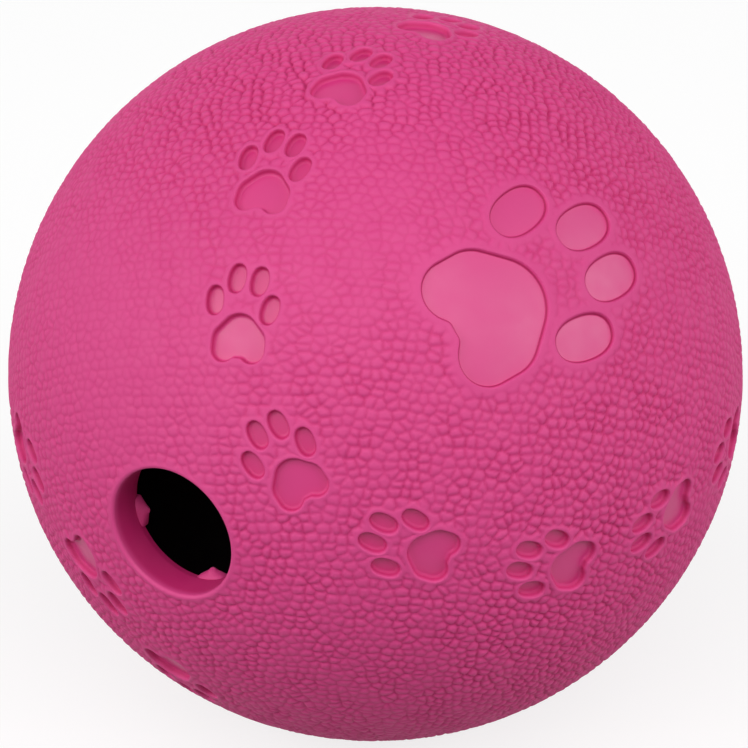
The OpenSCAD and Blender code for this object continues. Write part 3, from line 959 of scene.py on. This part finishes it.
def mouth_half(skin):
    """The mouth half's outside, lip, bore, hollow, seat, groove and teeth."""
    verts, faces, renumber, shade, floor = half_of(skin, 1)
    seam = boundary_loop(faces, verts)
    shell = Shell(verts, faces, shade)
    lip_ids = renumber[skin[3]]
    count = len(lip_ids)
    here = (lip_ids, ring_angles(count))
    flare = (MOUTH_R, BORE_FOOT_Z + TOOTH_DROP)
    foot = (MOUTH_R + BORE_FLARE, BORE_FOOT_Z + BORE_FOOT_R)
    lip_section = ((LIP_RING_R, LIP_Z), LIP_R, math.atan2(LIP_Z, LIP_RING_R), math.pi)
    foot_section = ((foot[0] + BORE_FOOT_R, foot[1]), BORE_FOOT_R, math.pi, BORE_FOOT_END)
    for section in (
        arc_section(*lip_section, LIP_SECTION_STEPS),
        line_section((MOUTH_R, LIP_Z), flare, BORE_STEPS),
        line_section(flare, foot, FLARE_STEPS),
        arc_section(*foot_section, FOOT_STEPS),
    ):
        here = shell.along(here, section, count)
    start = math.asin((foot[0] + HOLLOW_START) / HOLLOW_R)
    end = math.acos(SEAT_HALF_W / HOLLOW_R)
    angles = np.linspace(start, end, MOUTH_HOLLOW_STEPS)
    hollow = [(HOLLOW_R * math.sin(a), HOLLOW_R * math.cos(a)) for a in angles]
    here = shell.along(here, hollow, INNER_COUNT, corner=(MOUTH_HOLLOW_STEPS - 1,))
    groove_in, groove_out = TONGUE_IN_R - BOND_FIT, TONGUE_OUT_R + BOND_FIT
    groove_h = TONGUE_H + BOND_FIT
    section = [
        (SEAT_R, SEAT_HALF_W), (SEAT_R, 0.0), (groove_in, 0.0),
        (groove_in, groove_h), (groove_out, groove_h), (groove_out, 0.0),
    ]
    here = shell.along(here, section, INNER_COUNT, corner=range(6))
    shell.join(here, seam)
    shell.corners.append(seam[0])
    pts, tris = tooth_mesh()
    for k in range(TEETH):
        a = TOOTH_TURN + 360 * k / TEETH
        c, s = cosd(a), sind(a)
        x, y = c * pts[:, 0] - s * pts[:, 1], s * pts[:, 0] + c * pts[:, 1]
        # The teeth take a little painted shade
        ids = shell.add(np.column_stack([x, y, pts[:, 2]]), TOOTH_SHADE)
        shell.faces.append(tris + ids[0])
    return shell, floor


def rear_half(skin):
    """The rear half's outside, tongue, seat and hollow."""
    verts, faces, _, shade, floor = half_of(skin, -1)
    seam = boundary_loop(faces, verts)
    shell = Shell(verts, faces, shade)
    shell.corners.append(seam[0])
    section = [
        (TONGUE_OUT_R, 0.0), (TONGUE_OUT_R, TONGUE_H), (TONGUE_IN_R, TONGUE_H),
        (TONGUE_IN_R, 0.0), (SEAT_R, 0.0), (SEAT_R, -SEAT_HALF_W),
    ]
    here = shell.along(seam, section, INNER_COUNT, corner=range(6))
    start = math.acos(SEAT_HALF_W / HOLLOW_R)
    angles = np.linspace(start, POLE_GAP, REAR_HOLLOW_STEPS)
    hollow = [(HOLLOW_R * math.sin(a), -HOLLOW_R * math.cos(a)) for a in angles]
    here = shell.along(here, hollow, INNER_COUNT, corner=(0,))
    pole = shell.add(np.array([[0.0, 0.0, -HOLLOW_R]]), BORE_SHADE)
    ids = here[0]
    shell.faces.append(np.stack([ids, np.roll(ids, -1), np.full(len(ids), pole[0])], -1))
    return shell, floor


def make_object(name, shell, floor, material):
    """The Blender object of a shell, turned into the row frame, with its attributes."""
    verts, faces, shade = shell.arrays()
    floor = np.concatenate([floor, np.full(len(verts) - len(floor), BORE_POLISH_AND_SHADE)])
    row = np.stack([verts[:, 0], -verts[:, 2], verts[:, 1]], -1) * MM
    mesh = bpy.data.meshes.new(name)
    mesh.vertices.add(len(row))
    mesh.vertices.foreach_set("co", row.astype(np.float32).ravel())
    mesh.loops.add(faces.size)
    mesh.loops.foreach_set("vertex_index", faces.astype(np.int32).ravel())
    mesh.polygons.add(len(faces))
    mesh.polygons.foreach_set("loop_start", np.arange(0, faces.size, 3, dtype=np.int32))
    mesh.update(calc_edges=True)
    mesh.polygons.foreach_set("use_smooth", np.ones(len(faces), bool))
    corner = np.zeros(len(row), bool)
    corner[np.concatenate(shell.corners)] = True
    edges = np.zeros(len(mesh.edges) * 2, np.int32)
    mesh.edges.foreach_get("vertices", edges)
    sharp = corner[edges.reshape(-1, 2)].all(1)
    for attribute, kind, domain, values in (
        ("sharp_edge", "BOOLEAN", "EDGE", sharp),
        ("groove", "FLOAT", "POINT", shade.astype(np.float32)),
        ("polish_and_floor_shade", "FLOAT", "POINT", floor.astype(np.float32)),
    ):
        mesh.attributes.new(attribute, kind, domain).data.foreach_set("value", values)
    mesh.materials.append(material)
    mesh.update()
    obj = bpy.data.objects.new(name, mesh)
    bpy.context.scene.collection.objects.link(obj)
    return obj


# Materials


def new_material(name):
    """A material with a Principled shader, and its nodes, links and shader."""
    material = bpy.data.materials.new(name)
    material.use_nodes = True
    nodes = material.node_tree.nodes
    nodes.clear()
    out = nodes.new("ShaderNodeOutputMaterial")
    bsdf = nodes.new("ShaderNodeBsdfPrincipled")
    material.node_tree.links.new(bsdf.outputs["BSDF"], out.inputs["Surface"])
    return material, nodes, material.node_tree.links, bsdf


def noise_node(nodes, links, coord, values):
    """Noise from its scale, detail and roughness."""
    node = nodes.new("ShaderNodeTexNoise")
    for k, v in zip(("Scale", "Detail", "Roughness"), values):
        node.inputs[k].default_value = v
    links.new(coord, node.inputs["Vector"])
    return node.outputs["Fac"]


def range_node(nodes, links, value, lo, hi, to_lo, to_hi):
    """The value from lo..hi taken to to_lo..to_hi."""
    node = nodes.new("ShaderNodeMapRange")
    for k, v in (("From Min", lo), ("From Max", hi), ("To Min", to_lo), ("To Max", to_hi)):
        node.inputs[k].default_value = v
    links.new(value, node.inputs["Value"])
    return node.outputs["Result"]


def mix_colour(nodes, links, factor, a, b):
    """A mix of two colours, each given as a tuple or as a socket."""
    node = nodes.new("ShaderNodeMix")
    node.data_type = "RGBA"
    links.new(factor, node.inputs["Factor"])
    for socket, value in (("A", a), ("B", b)):
        target = [i for i in node.inputs if i.name == socket and i.type == "RGBA"][0]
        if isinstance(value, tuple):
            target.default_value = (*value, 1.0)
        else:
            links.new(value, target)
    return [o for o in node.outputs if o.type == "RGBA"][0]


def math_node(nodes, links, operation, a, b):
    node = nodes.new("ShaderNodeMath")
    node.operation = operation
    for k, v in enumerate((a, b)):
        if isinstance(v, (int, float)):
            node.inputs[k].default_value = v
        else:
            links.new(v, node.inputs[k])
    return node.outputs[0]


def attribute_node(nodes, name):
    node = nodes.new("ShaderNodeAttribute")
    node.attribute_name = name
    return node.outputs["Fac"]


def bump_node(nodes, links, height, distance):
    node = nodes.new("ShaderNodeBump")
    node.inputs["Strength"].default_value = BUMP_STRENGTH
    node.inputs["Distance"].default_value = distance
    links.new(height, node.inputs["Height"])
    return node.outputs["Normal"]


def direct_ray(nodes, links):
    """1 for camera, glossy and transmission rays, and 0 for the rest."""
    rays = nodes.new("ShaderNodeLightPath").outputs
    seen = math_node(nodes, links, "MAXIMUM", rays["Is Camera Ray"], rays["Is Glossy Ray"])
    return math_node(nodes, links, "MAXIMUM", seen, rays["Is Transmission Ray"])


def shell_rubber():
    """Pink rubber, smoother on floors, with painted shade: deeper and darker in grooves, on
    the prints' walls and floors, on the teeth and in the bore.
    """
    material, nodes, links, bsdf = new_material("shell_rubber_look")
    coord = nodes.new("ShaderNodeTexCoord").outputs["Object"]
    groove = attribute_node(nodes, "groove")
    floor = attribute_node(nodes, "polish_and_floor_shade")
    broad = noise_node(nodes, links, coord, TINT_NOISE)
    tint = range_node(nodes, links, broad, *NOISE_RANGE, 0.0, 1.0)
    body = mix_colour(nodes, links, tint, PINK, LIGHT_PINK)
    # Painted shade: the deep and dark pinks by depth of painted shade, the floor pink on
    # floors
    for value, share, colour in (
        (groove, DEEP_SHADE_SHARE, DEEP_SHADE_PINK),
        (groove, DARK_SHADE_SHARE, DARK_SHADE_PINK),
        (floor, FLOOR_SHADE_SHARE, FLOOR_SHADE_PINK),
    ):
        amount = math_node(nodes, links, "MULTIPLY", value, share)
        body = mix_colour(nodes, links, amount, body, colour)
    links.new(body, bsdf.inputs["Base Color"])
    patch = noise_node(nodes, links, coord, PATCH_NOISE)
    skin_rough = range_node(nodes, links, patch, *NOISE_RANGE, *SKIN_ROUGHNESS)
    polish = range_node(nodes, links, floor, 0.0, 1.0, 0.0, FLOOR_POLISH)
    rough = math_node(nodes, links, "SUBTRACT", skin_rough, polish)
    links.new(rough, bsdf.inputs["Roughness"])
    bsdf.inputs["Specular IOR Level"].default_value = SHELL_SPECULAR
    grain = noise_node(nodes, links, coord, GRAIN_NOISE)
    amount = range_node(nodes, links, floor, 0.0, 1.0, 1.0, FLOOR_GRAIN)
    grain = math_node(nodes, links, "MULTIPLY", grain, amount)
    links.new(bump_node(nodes, links, grain, GRAIN_HEIGHT), bsdf.inputs["Normal"])
    return material


def shade_black_rubber():
    """Near-black rubber with a fine grain: its black is painted shade for the inside of the
    ball.
    """
    material, nodes, links, bsdf = new_material("shade_black_rubber_look")
    coord = nodes.new("ShaderNodeTexCoord").outputs["Object"]
    broad = noise_node(nodes, links, coord, INNER_TINT_NOISE)
    links.new(mix_colour(nodes, links, broad, SHADE_BLACK, SOFT_SHADE_BLACK), bsdf.inputs["Base Color"])
    patch = noise_node(nodes, links, coord, INNER_PATCH_NOISE)
    rough = range_node(nodes, links, patch, *NOISE_RANGE, *INNER_ROUGHNESS)
    links.new(rough, bsdf.inputs["Roughness"])
    bsdf.inputs["Specular IOR Level"].default_value = INNER_SPECULAR
    grain = noise_node(nodes, links, coord, INNER_GRAIN_NOISE)
    bump = bump_node(nodes, links, grain, INNER_GRAIN_HEIGHT)
    links.new(bump, bsdf.inputs["Normal"])
    return material


# Stage


def make_floor():
    """A pale floor that takes the object's shadow and shows near white."""
    mesh = bpy.data.meshes.new("studio_floor")
    h, z = FLOOR_HALF, -BALL_R * MM
    mesh.from_pydata([(-h, -h, z), (h, -h, z), (h, h, z), (-h, h, z)], [], [(0, 1, 2, 3)])
    obj = bpy.data.objects.new("studio_floor", mesh)
    bpy.context.scene.collection.objects.link(obj)
    material, nodes, links, bsdf = new_material("floor_look")
    bsdf.inputs["Base Color"].default_value = (FLOOR_GREY, FLOOR_GREY, FLOOR_GREY, 1.0)
    bsdf.inputs["Roughness"].default_value = FLOOR_ROUGHNESS
    bsdf.inputs["Specular IOR Level"].default_value = 0.0
    glow = nodes.new("ShaderNodeEmission")
    strength = math_node(nodes, links, "MULTIPLY", direct_ray(nodes, links), FLOOR_GLOW)
    links.new(strength, glow.inputs["Strength"])
    both = nodes.new("ShaderNodeAddShader")
    links.new(bsdf.outputs["BSDF"], both.inputs[0])
    links.new(glow.outputs["Emission"], both.inputs[1])
    out = [n for n in nodes if n.type == "OUTPUT_MATERIAL"][0]
    links.new(both.outputs["Shader"], out.inputs["Surface"])
    mesh.materials.append(material)


def make_world():
    """White where it is seen or mirrored, and a faint even light on the object."""
    world = bpy.data.worlds.new("studio")
    bpy.context.scene.world = world
    world.use_nodes = True
    nodes, links = world.node_tree.nodes, world.node_tree.links
    nodes.clear()
    out = nodes.new("ShaderNodeOutputWorld")
    back = nodes.new("ShaderNodeBackground")
    back.inputs["Color"].default_value = (1.0, 1.0, 1.0, 1.0)
    strength = range_node(nodes, links, direct_ray(nodes, links), 0.0, 1.0, AMBIENT, 1.0)
    links.new(strength, back.inputs["Strength"])
    links.new(back.outputs["Background"], out.inputs["Surface"])


def camera_axes():
    """The camera's right, up and back."""
    a, e = math.radians(CAM_AZIMUTH), math.radians(CAM_ELEVATION)
    right = Vector((math.cos(a), math.sin(a), 0.0))
    up = Vector((-math.sin(a) * math.sin(e), math.cos(a) * math.sin(e), math.cos(e)))
    back = Vector((math.sin(a) * math.cos(e), -math.cos(a) * math.cos(e), math.sin(e)))
    return right, up, back


def make_camera():
    data = bpy.data.cameras.new("camera")
    data.lens = CAM_LENS
    data.sensor_width = CAM_SENSOR
    data.sensor_fit = "HORIZONTAL"
    data.shift_x = CAM_SHIFT_X
    data.clip_start, data.clip_end = CAM_CLIP
    obj = bpy.data.objects.new("camera", data)
    _, _, back = camera_axes()
    obj.location = back * CAM_DISTANCE
    obj.rotation_euler = (-back).to_track_quat("-Z", "Y").to_euler()
    bpy.context.scene.collection.objects.link(obj)
    bpy.context.scene.camera = obj


def area_light(name, place, width, height, power):
    """A soft light at place, in metres, that faces the ball's centre."""
    data = bpy.data.lights.new(name, "AREA")
    data.shape = "RECTANGLE"
    data.size = width
    data.size_y = height
    data.energy = power
    obj = bpy.data.objects.new(name, data)
    obj.location = place
    obj.rotation_euler = (-Vector(place)).to_track_quat("-Z", "Y").to_euler()
    bpy.context.scene.collection.objects.link(obj)


def make_lights():
    right, up, back = camera_axes()
    for name, turn, rise, width, height, power in LIGHTS:
        level = back * float(cosd(turn)) + right * float(sind(turn))
        place = level * float(cosd(rise)) + up * float(sind(rise))
        area_light(name, place * LIGHT_DISTANCE, width, height, power)


# The object

pads = make_pads()
skin = pressed_skin(pads)
shell_look = shell_rubber()
shade_black_look = shade_black_rubber()

SKINS = (
    ("mouth_half_skin", "mouth_half_shell", mouth_half),
    ("rear_half_skin", "rear_half_shell", rear_half),
)
for name, node, build in SKINS:
    piece = make_object(name, *build(skin), shell_look)
    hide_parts(node)
    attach(piece, "root")

replaced = [node for _, node, _ in SKINS]
# The inner pieces take the near-black rubber, painted shade for the inside of the ball
for node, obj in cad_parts.items():
    if node not in replaced:
        for material_slot in obj.material_slots:
            material_slot.material = shade_black_look

make_floor()
make_world()
make_lights()
make_camera()
bpy.context.scene.view_settings.view_transform = "Standard"
